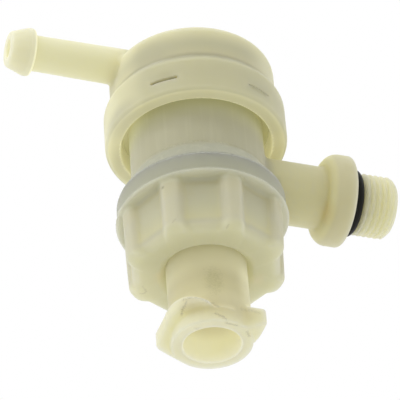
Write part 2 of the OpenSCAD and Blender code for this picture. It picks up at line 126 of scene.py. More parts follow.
def lamp(name, spot, aim, size, watts, tint):
    data = bpy.data.lights.new(name, "AREA")
    data.shape = "DISK"
    data.size = size
    data.energy = watts
    data.color = tint
    one = bpy.data.objects.new(name, data)
    bpy.context.scene.collection.objects.link(one)
    back_way = np.array(spot) - np.array(aim)
    back_way /= np.linalg.norm(back_way)
    flat = np.cross([0.0, 0.0, 1.0], back_way)
    flat /= np.linalg.norm(flat)
    lift = np.cross(back_way, flat)
    place = np.eye(4)
    place[:3, 0] = flat
    place[:3, 1] = lift
    place[:3, 2] = back_way
    place[:3, 3] = spot
    one.matrix_world = Matrix(place.tolist())


lamp("low_soft_box", (0.05, -0.10, -0.80), (0.0, 0.0, 0.02), 0.6, 0.6, (1.0, 0.99, 0.96))
lamp("high_soft_box", (-0.55, -0.35, 0.45), (0.0, 0.0, 0.03), 0.5, 1.5, (1.0, 1.0, 1.0))

floor_data = bpy.data.meshes.new("floor")
floor_data.from_pydata([(-3, -3, 0), (3, -3, 0), (3, 3, 0), (-3, 3, 0)], [], [(0, 1, 2, 3)])
floor = bpy.data.objects.new("floor", floor_data)
bpy.context.scene.collection.objects.link(floor)
pale = bpy.data.materials.new("pale_floor")
pale.use_nodes = True
tree = pale.node_tree
tree.nodes.clear()
paint = tree.nodes.new("ShaderNodeBsdfDiffuse")
cloud = tree.nodes.new("ShaderNodeTexNoise")
cloud.inputs["Scale"].default_value = 9.0
place = tree.nodes.new("ShaderNodeNewGeometry")
tones = tree.nodes.new("ShaderNodeValToRGB")
tones.color_ramp.elements[0].color = (0.80, 0.80, 0.79, 1.0)
tones.color_ramp.elements[1].color = (0.84, 0.84, 0.83, 1.0)
open_air = tree.nodes.new("ShaderNodeBsdfTransparent")
ray = tree.nodes.new("ShaderNodeLightPath")
under = tree.nodes.new("ShaderNodeMath")
under.operation = "SUBTRACT"
under.use_clamp = True
kind = tree.nodes.new("ShaderNodeMixShader")
out = tree.nodes.new("ShaderNodeOutputMaterial")
tree.links.new(place.outputs["Position"], cloud.inputs["Vector"])
tree.links.new(cloud.outputs["Fac"], tones.inputs["Fac"])
tree.links.new(tones.outputs["Color"], paint.inputs["Color"])
tree.links.new(ray.outputs["Is Camera Ray"], under.inputs[0])
tree.links.new(place.outputs["Backfacing"], under.inputs[1])
tree.links.new(under.outputs[0], kind.inputs["Fac"])
tree.links.new(open_air.outputs[0], kind.inputs[1])
tree.links.new(paint.outputs[0], kind.inputs[2])
tree.links.new(kind.outputs[0], out.inputs["Surface"])
floor_data.materials.append(pale)


# Inlet connector: a smooth moulded tube whose socket slides over the boiler's pin
# It is natural, see-through-white plastic. Two bayonet ears near its end lock it, each with a sloping underside and a
# tail that runs out along the neck, and the ring nut holds the flange at its other end.
def turned(out, height, radius, low, high, edge=0.0):
    u = out - radius + edge
    v = np.abs(height - (low + high) / 2) - (high - low) / 2 + edge
    return np.hypot(np.maximum(u, 0), np.maximum(v, 0)) + np.minimum(np.maximum(u, v), 0) - edge


def joined(a, b, fillet):
    u = np.maximum(fillet - a, 0)
    v = np.maximum(fillet - b, 0)
    return np.maximum(fillet, np.minimum(a, b)) - np.hypot(u, v)


def trimmed(a, b, edge):
    u = np.maximum(edge + a, 0)
    v = np.maximum(edge + b, 0)
    return np.minimum(-edge, np.maximum(a, b)) + np.hypot(u, v)


def moulded(name, solid, spans):
    lines = []
    for parts in spans:
        line = [np.arange(a, b - step / 2, step) for a, b, step in parts]
        lines.append(np.concatenate(line + [[parts[-1][1]]]))
    x, y, z = lines
    field = np.concatenate([
        np.asarray(solid(x[i : i + 40, None, None], y[None, :, None], z[None, None, :]), np.float32)
        for i in range(0, len(x), 40)
    ])
    inside = field < 0
    corner = [(i, j, k) for i in (0, 1) for j in (0, 1) for k in (0, 1)]
    many = sum(inside[i : i + len(x) - 1, j : j + len(y) - 1, k : k + len(z) - 1].astype(np.int8) for i, j, k in corner)
    cells = np.argwhere((many > 0) & (many < 8))
    number = np.full(many.shape, -1, np.int64)
    number[tuple(cells.T)] = np.arange(len(cells))
    spots = np.stack([
        np.stack([x[cells[:, 0] + i], y[cells[:, 1] + j], z[cells[:, 2] + k]], 1) for i, j, k in corner
    ], 1)
    depth = np.stack([field[cells[:, 0] + i, cells[:, 1] + j, cells[:, 2] + k] for i, j, k in corner], 1)
    total = np.zeros((len(cells), 3))
    count = np.zeros(len(cells))
    for a in range(8):
        for b in (a + 1, a + 2, a + 4):
            if b > 7 or sum(abs(p - q) for p, q in zip(corner[a], corner[b])) != 1:
                continue
            crossed = (depth[:, a] < 0) != (depth[:, b] < 0)
            share = np.where(crossed, depth[:, a] / np.where(crossed, depth[:, a] - depth[:, b], 1), 0)[:, None]
            total += crossed[:, None] * (spots[:, a] + share * (spots[:, b] - spots[:, a]))
            count += crossed
    points = total / count[:, None]

    def slope_at(p):
        h = 0.02
        parts = []
        for axis in range(3):
            step = np.zeros(3)
            step[axis] = h
            parts.append((solid(*(p + step).T) - solid(*(p - step).T)) / (2 * h))
        return np.stack(parts, 1)

    for _ in range(2):
        way = slope_at(points)
        steep = np.maximum((way**2).sum(1), 0.2)
        points = points - np.clip(solid(*points.T) / steep, -0.2, 0.2)[:, None] * way
    faces = []
    for axis in range(3):
        order = [axis, (axis + 1) % 3, (axis + 2) % 3]
        block = np.moveaxis(inside, order, (0, 1, 2))
        label = np.moveaxis(number, order, (0, 1, 2))
        first = block[:-1, 1:-1, 1:-1]
        i, j, k = np.nonzero(first != block[1:, 1:-1, 1:-1])
        loop = np.stack([label[i, j, k], label[i, j + 1, k], label[i, j + 1, k + 1], label[i, j, k + 1]], 1)
        hidden = ~first[i, j, k]
        loop[hidden] = loop[hidden][:, ::-1]
        faces.append(loop)
    faces = np.concatenate(faces)
    normals = slope_at(points)
    normals /= np.linalg.norm(normals, axis=1)[:, None] + 1e-9
    # closed is how shut in each point is by the piece's own walls, and thick is how much plastic lies behind it; the
    # materials paint shade, light and glow from them
    closed = np.zeros(len(points))
    for reach in (0.4, 0.8, 1.6, 2.6):
        closed += np.clip(1 - solid(*(points + reach * normals).T) / reach, 0, 1) / 4
    thick = np.zeros(len(points))
    for reach in (0.5, 1.0, 1.6):
        thick += np.clip(-solid(*(points - reach * normals).T) / reach, 0, 1) / 3
    # inward marks the walls that face the axis, which get a painted glow
    from_axis = points[:, :2] / (np.hypot(points[:, 0], points[:, 1])[:, None] + 1e-6)
    inward = np.clip(-(normals[:, :2] * from_axis).sum(1) * 3, 0, 1)
    data = bpy.data.meshes.new(name)
    data.vertices.add(len(points))
    data.vertices.foreach_set("co", (points / 1000).ravel())
    data.loops.add(4 * len(faces))
    data.loops.foreach_set("vertex_index", faces.ravel())
    data.polygons.add(len(faces))
    data.polygons.foreach_set("loop_start", np.arange(0, 4 * len(faces), 4))
    data.update(calc_edges=True)
    data.polygons.foreach_set("use_smooth", np.ones(len(faces), bool))
    for label, values in (("closed", closed), ("thick", thick), ("inward", inward)):
        data.attributes.new(label, "FLOAT", "POINT").data.foreach_set("value", values.astype(np.float32))
    piece = bpy.data.objects.new(name, data)
    bpy.context.scene.collection.objects.link(piece)
    data.normals_split_custom_set_from_vertices([tuple(n) for n in normals])
    return piece


# Stores how near each point of the piece is to a line of marks, 1 on the line and 0 at the given width from it. The
# lines carry dirt and wear, and also painted shade along a slit and a window recess.
def near_lines(piece, label, lines, width):
    spots = np.empty(3 * len(piece.data.vertices))
    piece.data.vertices.foreach_get("co", spots)
    spots = spots.reshape(-1, 3) * 1000
    nearest = np.full(len(spots), 1e9)
    for line in lines:
        for a, b in zip(np.array(line[:-1], float), np.array(line[1:], float)):
            along = np.clip((spots - a) @ (b - a) / ((b - a) @ (b - a)), 0, 1)
            nearest = np.minimum(nearest, np.linalg.norm(spots - a - along[:, None] * (b - a), axis=1))
    value = np.clip(1 - nearest / width, 0, 1).astype(np.float32)
    piece.data.attributes.new(label, "FLOAT", "POINT").data.foreach_set("value", value)


def connector(x, y, z):
    out = np.hypot(x, y)
    neck = turned(out, z, 6.05, 0.0, 16.5, 0.3)
    ears = None
    for sign in (1, -1):
        u, v = sign * x, sign * y
        around = np.degrees(np.arctan2(v, u))
        flat = trimmed(u - 7.1, -5.0 - v, 0.8)
        plan = np.maximum(np.maximum(flat, v - 0.9), -u)
        tail = np.maximum(np.maximum(out - 7.1, -u * 0.97 - v * 0.24), -v + 0.4)
        plan = np.minimum(plan, tail)
        crest = 4.7 - 2.3 * np.clip((around - 36.0) / 41.0, 0, 1) ** 1.4
        crest = np.where(around < 20, 4.2 + 0.5 * np.clip(around / 20, 0, 1), crest)
        lead = 1.7 * np.clip((v + 5.0) / 6.5, 0, 1.3)
        slope = (out - 5.95 - (z - lead) * 1.45) * 0.57
        ear = trimmed(trimmed(plan, (z - crest) * 0.9, 0.25), slope, 0.25)
        ear = np.maximum(ear, 0.3 - z)
        ears = ear if ears is None else np.minimum(ears, ear)
    body = joined(neck, ears, 0.35)
    body = joined(body, turned(out, z, 9.7, 15.4, 17.8, 0.15), 0.3)
    body = np.minimum(body, turned(out, z, 3.2, 10.0, 18.6, 0.1))
    socket = turned(out, z, 4.3, -3.0, 8.0, 0.2)
    socket = np.minimum(socket, turned(out, z, 2.0, 5.0, 22.0))
    return trimmed(body, -socket, 0.2)


inlet = moulded("inlet_tube", connector, [
    [(-10.2, -8.0, 0.3), (-8.0, 8.0, 0.16), (8.0, 10.3, 0.3)],
    [(-10.2, -8.0, 0.3), (-8.0, 8.0, 0.16), (8.0, 10.3, 0.3)],
    [(-0.5, 5.3, 0.14), (5.3, 15.0, 0.4), (15.0, 19.2, 0.2)],
])
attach(inlet, "housing")
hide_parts("inlet_connector")


def field_of(tree, name):
    node = tree.nodes.new("ShaderNodeAttribute")
    node.attribute_name = name
    return node.outputs["Fac"]


# Painted depth shade: natural plastic is painted palest in thin walls and greyer where it is thick, as light through it
# would show, and yellower in hollows, where the light has gone through more of it.
# The hollow colour is painted shade and the Glow output is painted light, an emission laid where the piece closes in on
# itself.
painted_depth_shade = bpy.data.node_groups.new("painted_depth_shade", "ShaderNodeTree")
for label, kind_name in (("Closed", "NodeSocketFloat"), ("Thick", "NodeSocketFloat"), ("Glow Share", "NodeSocketFloat"),
                         ("Thin Color", "NodeSocketColor"), ("Thick Color", "NodeSocketColor"), ("Hollow Shade Color", "NodeSocketColor")):
    painted_depth_shade.interface.new_socket(label, in_out="INPUT", socket_type=kind_name)
painted_depth_shade.interface.new_socket("Color", in_out="OUTPUT", socket_type="NodeSocketColor")
painted_depth_shade.interface.new_socket("Glow", in_out="OUTPUT", socket_type="NodeSocketColor")
put = painted_depth_shade.nodes.new
wire = painted_depth_shade.links.new
given = put("NodeGroupInput")
result = put("NodeGroupOutput")
where = put("ShaderNodeTexCoord")
mottle = put("ShaderNodeTexNoise")
mottle.inputs["Scale"].default_value = 170.0
mottle.inputs["Detail"].default_value = 3.0
clouded = put("ShaderNodeMath")
clouded.operation = "MULTIPLY_ADD"
clouded.inputs[1].default_value = 0.3
hollow_shade = put("ShaderNodeMapRange")
hollow_shade.inputs["From Min"].default_value = 0.3
hollow_shade.inputs["From Max"].default_value = 0.95
heavy = put("ShaderNodeMapRange")
heavy.inputs["From Min"].default_value = 0.35
heavy.inputs["From Max"].default_value = 1.0
first_mix = put("ShaderNodeMix")
first_mix.data_type = "RGBA"
second_mix = put("ShaderNodeMix")
second_mix.data_type = "RGBA"
lit = put("ShaderNodeMath")
lit.operation = "MULTIPLY"
glow_mix = put("ShaderNodeMix")
glow_mix.data_type = "RGBA"
glow_mix.inputs["A"].default_value = (0.0, 0.0, 0.0, 1.0)
wire(where.outputs["Object"], mottle.inputs["Vector"])
wire(mottle.outputs["Fac"], clouded.inputs[0])
wire(given.outputs["Closed"], clouded.inputs[2])
wire(clouded.outputs[0], hollow_shade.inputs["Value"])
wire(given.outputs["Thick"], heavy.inputs["Value"])
wire(heavy.outputs["Result"], first_mix.inputs["Factor"])
wire(given.outputs["Thin Color"], first_mix.inputs["A"])
wire(given.outputs["Thick Color"], first_mix.inputs["B"])
wire(hollow_shade.outputs["Result"], second_mix.inputs["Factor"])
wire(first_mix.outputs["Result"], second_mix.inputs["A"])
wire(given.outputs["Hollow Shade Color"], second_mix.inputs["B"])
wire(second_mix.outputs["Result"], result.inputs["Color"])
wire(hollow_shade.outputs["Result"], lit.inputs[0])
wire(given.outputs["Glow Share"], lit.inputs[1])
wire(lit.outputs[0], glow_mix.inputs["Factor"])
wire(given.outputs["Hollow Shade Color"], glow_mix.inputs["B"])
wire(glow_mix.outputs["Result"], result.inputs["Glow"])

# Soft patch: a mask round one place on the piece, ragged at its edge
soft_patch = bpy.data.node_groups.new("soft_patch", "ShaderNodeTree")
soft_patch.interface.new_socket("Center", in_out="INPUT", socket_type="NodeSocketVector")
soft_patch.interface.new_socket("Reach", in_out="INPUT", socket_type="NodeSocketVector")
for label in ("Ragged", "Strength"):
    soft_patch.interface.new_socket(label, in_out="INPUT", socket_type="NodeSocketFloat")
soft_patch.interface.new_socket("Mask", in_out="OUTPUT", socket_type="NodeSocketFloat")
put = soft_patch.nodes.new
wire = soft_patch.links.new
given = put("NodeGroupInput")
result = put("NodeGroupOutput")
where = put("ShaderNodeTexCoord")
apart = put("ShaderNodeVectorMath")
apart.operation = "SUBTRACT"
scaled = put("ShaderNodeVectorMath")
scaled.operation = "DIVIDE"
far = put("ShaderNodeVectorMath")
far.operation = "LENGTH"
frayed = put("ShaderNodeTexNoise")
frayed.inputs["Scale"].default_value = 900.0
frayed.inputs["Detail"].default_value = 3.0
fringe = put("ShaderNodeMath")
fringe.operation = "MULTIPLY_ADD"
fade = put("ShaderNodeMapRange")
fade.interpolation_type = "SMOOTHSTEP"
fade.inputs["From Min"].default_value = 1.0
fade.inputs["From Max"].default_value = 0.2
strong = put("ShaderNodeMath")
strong.operation = "MULTIPLY"
wire(where.outputs["Object"], apart.inputs[0])
wire(given.outputs["Center"], apart.inputs[1])
wire(apart.outputs["Vector"], scaled.inputs[0])
wire(given.outputs["Reach"], scaled.inputs[1])
wire(scaled.outputs["Vector"], far.inputs[0])
wire(where.outputs["Object"], frayed.inputs["Vector"])
wire(frayed.outputs["Fac"], fringe.inputs[0])
wire(given.outputs["Ragged"], fringe.inputs[1])
wire(far.outputs["Value"], fringe.inputs[2])
wire(fringe.outputs[0], fade.inputs["Value"])
wire(fade.outputs["Result"], strong.inputs[0])
wire(given.outputs["Strength"], strong.inputs[1])
wire(strong.outputs[0], result.inputs["Mask"])

# Moulded skin: the faint waves and fine grain that a steel mould leaves, as a height
mould_skin = bpy.data.node_groups.new("mould_skin", "ShaderNodeTree")
for label in ("Wave", "Grain"):
    mould_skin.interface.new_socket(label, in_out="INPUT", socket_type="NodeSocketFloat")
mould_skin.interface.new_socket("Height", in_out="OUTPUT", socket_type="NodeSocketFloat")
put = mould_skin.nodes.new
wire = mould_skin.links.new
given = put("NodeGroupInput")
result = put("NodeGroupOutput")
where = put("ShaderNodeTexCoord")
slow = put("ShaderNodeTexNoise")
slow.inputs["Scale"].default_value = 260.0
slow.inputs["Detail"].default_value = 1.0
fine = put("ShaderNodeTexNoise")
fine.inputs["Scale"].default_value = 3200.0
fine.inputs["Detail"].default_value = 2.0
first = put("ShaderNodeMath")
first.operation = "MULTIPLY"
second = put("ShaderNodeMath")
second.operation = "MULTIPLY_ADD"
wire(where.outputs["Object"], slow.inputs["Vector"])
wire(where.outputs["Object"], fine.inputs["Vector"])
wire(slow.outputs["Fac"], first.inputs[0])
wire(given.outputs["Wave"], first.inputs[1])
wire(fine.outputs["Fac"], second.inputs[0])
wire(given.outputs["Grain"], second.inputs[1])
wire(first.outputs[0], second.inputs[2])
wire(second.outputs[0], result.inputs["Height"])


# Broken mark: turns nearness to a line into specks and short strokes
broken_mark = bpy.data.node_groups.new("broken_mark", "ShaderNodeTree")
for label in ("Near", "Grain", "Cover"):
    broken_mark.interface.new_socket(label, in_out="INPUT", socket_type="NodeSocketFloat")
broken_mark.interface.new_socket("Mask", in_out="OUTPUT", socket_type="NodeSocketFloat")
put = broken_mark.nodes.new
wire = broken_mark.links.new
given = put("NodeGroupInput")
result = put("NodeGroupOutput")
where = put("ShaderNodeTexCoord")
specks = put("ShaderNodeTexNoise")
specks.inputs["Detail"].default_value = 3.0
specks.inputs["Roughness"].default_value = 0.7
covered = put("ShaderNodeMath")
covered.operation = "MULTIPLY_ADD"
cut = put("ShaderNodeMapRange")
cut.inputs["From Min"].default_value = 1.0
cut.inputs["From Max"].default_value = 1.3
wire(where.outputs["Object"], specks.inputs["Vector"])
wire(given.outputs["Grain"], specks.inputs["Scale"])
wire(given.outputs["Near"], covered.inputs[0])
wire(given.outputs["Cover"], covered.inputs[1])
wire(specks.outputs["Fac"], covered.inputs[2])
wire(covered.outputs[0], cut.inputs["Value"])
wire(cut.outputs["Result"], result.inputs["Mask"])


# Natural plastic: its base colour carries the painted depth shade and its emission the painted glow in hollows
def natural_plastic(name, thin, thick, hollow_shade, glow=0.2, depth=0.006):
    material = bpy.data.materials.new(name)
    material.use_nodes = True
    tree = material.node_tree
    shader = tree.nodes["Principled BSDF"]
    tint = tree.nodes.new("ShaderNodeGroup")
    tint.node_tree = painted_depth_shade
    tint.inputs["Thin Color"].default_value = (*thin, 1.0)
    tint.inputs["Thick Color"].default_value = (*thick, 1.0)
    tint.inputs["Hollow Shade Color"].default_value = (*hollow_shade, 1.0)
    tint.inputs["Glow Share"].default_value = glow
    tree.links.new(field_of(tree, "closed"), tint.inputs["Closed"])
    tree.links.new(field_of(tree, "thick"), tint.inputs["Thick"])
    tree.links.new(tint.outputs["Color"], shader.inputs["Base Color"])
    tree.links.new(tint.outputs["Glow"], shader.inputs["Emission Color"])
    shader.inputs["Emission Strength"].default_value = 1.0
    skin = tree.nodes.new("ShaderNodeGroup")
    skin.node_tree = mould_skin
    skin.inputs["Wave"].default_value = 1.0
    skin.inputs["Grain"].default_value = 0.12
    relief = tree.nodes.new("ShaderNodeBump")
    relief.inputs["Strength"].default_value = 0.25
    relief.inputs["Distance"].default_value = 0.00012
    tree.links.new(skin.outputs["Height"], relief.inputs["Height"])
    tree.links.new(relief.outputs["Normal"], shader.inputs["Normal"])
    gloss = tree.nodes.new("ShaderNodeTexNoise")
    gloss.inputs["Scale"].default_value = 420.0
    worn = tree.nodes.new("ShaderNodeMapRange")
    worn.inputs["To Min"].default_value = 0.48
    worn.inputs["To Max"].default_value = 0.64
    tree.links.new(gloss.outputs["Fac"], worn.inputs["Value"])
    tree.links.new(worn.outputs["Result"], shader.inputs["Roughness"])
    shader.subsurface_method = "RANDOM_WALK"
    shader.inputs["Subsurface Weight"].default_value = 1.0
    shader.inputs["Subsurface Radius"].default_value = (1.0, 0.98, 0.85)
    shader.inputs["Subsurface Scale"].default_value = depth
    shader.inputs["Subsurface Anisotropy"].default_value = 0.3
    shader.inputs["IOR"].default_value = 1.49
    shader.inputs["Specular IOR Level"].default_value = 0.25
    return material, tree, shader


# A soft step between two heights along one axis of the part
def band_along(tree, axis, start, end):
    spot = tree.nodes.new("ShaderNodeTexCoord")
    split = tree.nodes.new("ShaderNodeSeparateXYZ")
    ramp = tree.nodes.new("ShaderNodeMapRange")
    ramp.interpolation_type = "SMOOTHSTEP"
    ramp.inputs["From Min"].default_value = start / 1000
    ramp.inputs["From Max"].default_value = end / 1000
    tree.links.new(spot.outputs["Object"], split.inputs[0])
    tree.links.new(split.outputs[axis], ramp.inputs["Value"])
    return ramp.outputs["Result"]


# A soft patch in a material, with its centre and reach in millimetres
def patch(tree, center, reach, ragged, strength):
    spot = tree.nodes.new("ShaderNodeGroup")
    spot.node_tree = soft_patch
    spot.inputs["Center"].default_value = tuple(v / 1000 for v in center)
    spot.inputs["Reach"].default_value = tuple(v / 1000 for v in reach)
    spot.inputs["Ragged"].default_value = ragged
    spot.inputs["Strength"].default_value = strength
    return spot.outputs["Mask"]


# Specks and strokes where the mask is high
def specked(tree, near, grain, cover):
    one = tree.nodes.new("ShaderNodeGroup")
    one.node_tree = broken_mark
    one.inputs["Grain"].default_value = grain
    one.inputs["Cover"].default_value = cover
    tree.links.new(near, one.inputs["Near"])
    return one.outputs["Mask"]


# A mask times a strength
def faded(tree, mask, strength):
    less = tree.nodes.new("ShaderNodeMath")
    less.operation = "MULTIPLY"
    less.inputs[1].default_value = strength
    tree.links.new(mask, less.inputs[0])
    return less.outputs[0]


# Lays a colour over the shader's base colour where the mask says; below it lays both real marks and painted light and
# shade
def lay_over(tree, shader, mask, color):
    old = shader.inputs["Base Color"].links[0].from_socket
    cover = tree.nodes.new("ShaderNodeMix")
    cover.data_type = "RGBA"
    cover.inputs["B"].default_value = (*color, 1.0)
    tree.links.new(mask, cover.inputs["Factor"])
    tree.links.new(old, cover.inputs["A"])
    tree.links.new(cover.outputs["Result"], shader.inputs["Base Color"])


# Painted light: an emission glow that stands in for light come through the plastic from behind, where the mask says
def lay_glow(tree, shader, mask, color):
    old = shader.inputs["Emission Color"].links[0].from_socket
    more = tree.nodes.new("ShaderNodeMix")
    more.data_type = "RGBA"
    more.blend_type = "ADD"
    more.inputs["B"].default_value = (*color, 1.0)
    tree.links.new(mask, more.inputs["Factor"])
    tree.links.new(old, more.inputs["A"])
    tree.links.new(more.outputs["Result"], shader.inputs["Emission Color"])


near_lines(inlet, "grime", [
    [(-5.56, -4.41, 4.13), (-5.01, -5.03, 3.95), (-4.3, -5.64, 3.8), (-3.58, -6.13, 3.39), (-2.78, -6.39, 2.97), (-1.67, -5.82, 3.04), (-0.89, -6.1, 2.42)],
    [(-5.13, -4.91, 3.84), (-5.38, -4.58, 3.13), (-5.6, -3.79, 2.77), (-5.55, -3.09, 2.39)],
    [(-1.36, -5.89, 1.23), (-0.67, -6.01, 0.9), (0.05, -6.05, 0.45)],
    [(0.2, -5.7, 0.1), (0.63, -5.57, 0.0), (2.07, -5.4, 0.0)],
    [(3.9, -4.3, 0.0), (4.6, -3.3, 0.0)],
], 0.9)
near_lines(inlet, "rim_grime", [
    [(-3.66, -3.34, 0.0), (-2.21, -3.69, 0.5), (-0.86, -4.21, 0.5)],
    [(2.94, -5.3, 3.2), (4.45, -5.0, 3.5), (5.81, -5.0, 3.2)],
], 1.2)
inlet_plastic, tree, shader = natural_plastic("inlet_plastic", (0.82, 0.78, 0.53), (0.84, 0.80, 0.53), (0.90, 0.86, 0.64), 0.3)
# Painted shade: a darker band round the neck and darker patches over the left ear and the ears' fronts
lay_over(tree, shader, band_along(tree, 2, 3.5, 6.5), (0.64, 0.60, 0.385))
lay_over(tree, shader, patch(tree, (-4.9, -5.0, 2.8), (3.0, 2.4, 2.4), 0.1, 0.6), (0.60, 0.56, 0.40))
lay_over(tree, shader, patch(tree, (0.0, -5.5, 3.0), (10.5, 5.6, 4.8), 0.2, 0.9), (0.62, 0.575, 0.385))
lay_over(tree, shader, faded(tree, specked(tree, patch(tree, (-1.2, -5.9, 7.3), (4.6, 4.0, 7.5), 0.3, 1.0), 5200.0, 0.72), 0.45), (0.44, 0.42, 0.24))
lay_over(tree, shader, faded(tree, specked(tree, field_of(tree, "grime"), 6000.0, 0.74), 0.75), (0.40, 0.37, 0.26))
lay_over(tree, shader, faded(tree, specked(tree, field_of(tree, "rim_grime"), 4200.0, 0.7), 0.5), (0.44, 0.41, 0.28))
# Painted light: a glow on the neck below the nut, a glow on the neck's right front, and a glow on the socket's inner
# walls
lay_glow(tree, shader, band_along(tree, 2, 8.0, 11.0), (0.13, 0.13, 0.09))
lay_glow(tree, shader, patch(tree, (4.6, -4.0, 8.0), (3.0, 3.5, 5.0), 0.0, 1.0), (0.11, 0.11, 0.08))
lay_glow(tree, shader, field_of(tree, "inward"), (0.125, 0.125, 0.125))
inlet.data.materials.append(inlet_plastic)


# Ring nut: one moulding with a plain band above, eight grip ribs with flat panels between them, and a thick floor
# It is the same natural plastic. It screws up on the body and clamps the connector's flange with the flat seal.
def ring_nut(x, y, z):
    out = np.hypot(x, y)
    polar = np.degrees(np.arctan2(y, x))
    on_rib = np.radians((polar - 2.7 + 22.5) % 45.0 - 22.5)
    on_panel = np.radians((polar - 2.7) % 45.0 - 22.5)
    band = turned(out, z, 12.75, 22.7, 26.0, 0.15)
    slope = (out - 11.2 - (z - 21.7) * 1.55) * 0.54
    cone = np.maximum(slope, np.abs(z - 22.0) - 0.7)
    panel = trimmed(out * np.cos(on_panel) - 11.1 - (z - 18) * 0.03, np.abs(z - 18.0) - 5.0, 1.4)
    tip = trimmed(out * np.cos(on_rib) - 12.2 - (z - 14) * 0.05, np.abs(out * np.sin(on_rib)) - 1.3, 0.8)
    rib = np.maximum(tip, np.abs(z - 18.0) - 5.0)
    grip = joined(panel, rib, 1.1)
    grip = trimmed(grip, turned(out, z, 12.5, 13.0, 30.0, 1.9), 0.2)
    nut = joined(joined(grip, cone, 0.6), band, 0.7)
    funnel = (out - 6.12 - np.maximum(14.0 - z, 0) * 1.0) * 0.8
    room = np.minimum(turned(out, z, 10.0, 15.4, 24.75), turned(out, z, 10.4, 24.75, 29.0))
    return trimmed(trimmed(nut, -funnel, 0.35), -room, 0.15)


nut = moulded("grip_ring", ring_nut, [
    [(-13.4, 13.5, 0.22)],
    [(-13.4, 13.5, 0.22)],
    [(12.5, 26.5, 0.22)],
])
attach(nut, "housing")
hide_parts("ring_nut")
near_lines(nut, "grime", [
    [(-8.5, 4.9, 13.1), (-8.0, 5.3, 13.0), (-7.5, 6.0, 13.0), (-7.7, 6.5, 13.0), (-8.3, 6.7, 13.0)],
    [(-8.15, -9.2, 14.2), (-7.8, -9.5, 14.6)],
    [(-0.43, -11.7, 13.3), (-0.55, -11.1, 13.1)],
], 0.5)
near_lines(nut, "speck", [[(-9.23, -8.56, 21.1), (-9.13, -8.66, 21.1)]], 0.32)
nut_plastic, tree, shader = natural_plastic("nut_plastic", (0.73, 0.69, 0.42), (0.58, 0.56, 0.43), (0.63, 0.60, 0.42), 0.02)
# Painted light and shade on the one plastic: a darker underside, olive panel tops, a lighter sloping face and a darker
# grey band
lay_over(tree, shader, band_along(tree, 2, 15.0, 13.0), (0.70, 0.68, 0.46))
lay_over(tree, shader, faded(tree, band_along(tree, 2, 18.0, 20.8), 0.35), (0.66, 0.61, 0.36))
lay_over(tree, shader, band_along(tree, 2, 21.3, 22.0), (0.66, 0.645, 0.47))
lay_over(tree, shader, band_along(tree, 2, 21.9, 23.2), (0.475, 0.475, 0.36))
lay_over(tree, shader, faded(tree, specked(tree, field_of(tree, "grime"), 5000.0, 0.85), 0.4), (0.40, 0.37, 0.25))
lay_over(tree, shader, field_of(tree, "speck"), (0.16, 0.14, 0.08))
lay_over(tree, shader, patch(tree, (-6.5, 2.1, 13.0), (2.2, 3.4, 2.0), 0.5, 0.5), (0.78, 0.68, 0.42))
lay_over(tree, shader, patch(tree, (7.8, -0.4, 13.0), (2.0, 3.0, 2.0), 0.5, 0.5), (0.78, 0.70, 0.46))
# Painted light: a glow in the nut's floor round the neck and a faint glow on the floor's left side
lay_glow(tree, shader, patch(tree, (0.0, 0.0, 13.6), (8.0, 8.0, 1.9), 0.0, 1.0), (0.24, 0.235, 0.13))
lay_glow(tree, shader, patch(tree, (-8.0, 5.0, 13.0), (6.0, 7.0, 3.0), 0.0, 1.0), (0.06, 0.055, 0.04))
nut.data.materials.append(nut_plastic)


# Valve body: a plain tube with the outlet stub moulded on its side, all one piece of natural plastic
# The stub has a rounded flange, a seat for the seal ring and a moulded G 1/8 pipe thread.
def valve_body(x, y, z):
    out = np.hypot(x, y)
    tube = turned(out, z, 9.9, 19.3, 45.0, 0.1)
    tube = np.minimum(tube, turned(out, z, 10.25, 30.35, 41.0, 0.1))
    tube = np.minimum(tube, turned(out, z, 10.25, 24.9, 31.0, 0.15))
    tube = joined(tube, turned(out, z, 11.35, 40.3, 45.0, 0.1), 0.15)
    flare = np.maximum((out - 12.7 + np.maximum(z - 26.1, 0) * 0.62) * 0.85, np.abs(z - 28.0) - 1.97)
    tube = joined(tube, flare, 0.3)
    h = z - 31.2
    wide = np.hypot(y, h)
    stub = np.minimum(turned(wide, x, 4.85, 0.0, 22.0, 0.05), turned(wide, x, 3.45, 0.0, 26.0, 0.05))
    flange = np.where(x < 21.3, turned(wide, x, 7.1, 19.3, 24.0, 2.0), turned(wide, x, 7.1, 19.0, 23.25, 0.4))
    pitch = 0.907
    wave = np.cos(2 * np.pi * (x / pitch + np.arctan2(h, y) / (2 * np.pi)))
    crest = 4.70 + 0.13 * wave
    crest = np.minimum(crest, 4.83 - np.maximum(x - 29.95, 0) * 1.05)
    crest = np.minimum(crest, 4.2 + np.maximum(x - 25.13, 0) * 1.5)
    screw = np.maximum((wide - crest) * 0.75, np.abs(x - 27.94) - 2.81)
    arm = np.minimum(joined(stub, flange, 0.5), screw)
    body = joined(tube, arm, 0.6)
    for angle in (-128.0, -63.6, 52.0, 116.4):
        a = math.radians(angle)
        u = x * math.cos(a) + y * math.sin(a)
        v = -x * math.sin(a) + y * math.cos(a)
        reach = 12.3 if angle < 0 else 13.75
        tooth = np.maximum(np.maximum(np.abs(v) - 2.12, np.abs(z - 41.14) - 0.84), np.maximum(9.8 - u, out - reach))
        body = np.minimum(body, tooth)
    groove = np.maximum(10.09 - out, np.abs(z - 43.46) - 0.84)
    room = np.minimum(turned(out, z, 6.6, 10.0, 36.0, 0.2), turned(out, z, 2.0, 30.0, 40.0))
    room = np.minimum(room, turned(out, z, 8.8, 38.0, 50.0, 0.2))
    room = np.minimum(room, turned(wide, x, 2.2, 0.0, 40.0))
    return trimmed(trimmed(body, -groove, 0.08), -room, 0.15)


